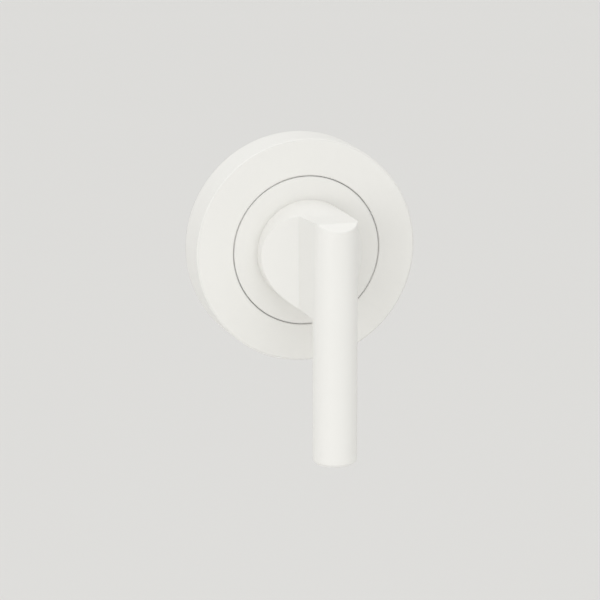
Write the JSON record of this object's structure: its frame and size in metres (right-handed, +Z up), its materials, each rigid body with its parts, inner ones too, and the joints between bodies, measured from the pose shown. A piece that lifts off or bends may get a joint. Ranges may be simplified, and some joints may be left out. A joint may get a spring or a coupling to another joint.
{
  "type": "bathroom thumb turn lock",
  "caption": "White hanging-bar thumb turn on a round rose, with a square spindle and through bolts, for locking a bathroom door from inside.",
  "frame": {"origin": "centre of the rose's door face, on the spindle axis", "axes": "+Y into the door along the spindle, -Y towards the hand, +Z up, +X to the right of a person facing the door"},
  "size_m": [0.0526, 0.0871, 0.0704],
  "materials": {
    "painted_white": "satin",
    "cast_zinc": "as cast, matt",
    "zinc_plated_steel": "bright",
    "spring_steel": "dark phosphated",
    "bush_plastic": "matt",
    "ring_rubber": "matt"
  },
  "bodies": {
    "rose": {"rose_cover": "painted_white", "mounting_plate": "cast_zinc", "bearing_bush": "bush_plastic", "fixing_bolt_upper": "zinc_plated_steel", "fixing_bolt_lower": "zinc_plated_steel", "cover_grub_screw": "zinc_plated_steel", "cover_grip_ring": "ring_rubber", "spring_washer": "spring_steel"},
    "turn": {"thumb_turn": "painted_white", "turn_disc": "painted_white", "disc_screw_upper": "zinc_plated_steel", "disc_screw_lower": "zinc_plated_steel", "disc_dowel_left": "zinc_plated_steel", "disc_dowel_right": "zinc_plated_steel", "stop_pin": "zinc_plated_steel", "drive_spindle": "zinc_plated_steel", "spindle_pin": "zinc_plated_steel", "spindle_sleeve": "zinc_plated_steel", "thrust_washer": "zinc_plated_steel", "retaining_circlip": "spring_steel"}
  },
  "joints": [
    {"name": "turn_hinge", "type": "hinge", "parent": "rose", "child": "turn", "pos_m": [0, 0, 0], "axis": [0, 1, 0], "range_deg": [-90, 90]}
  ]
}
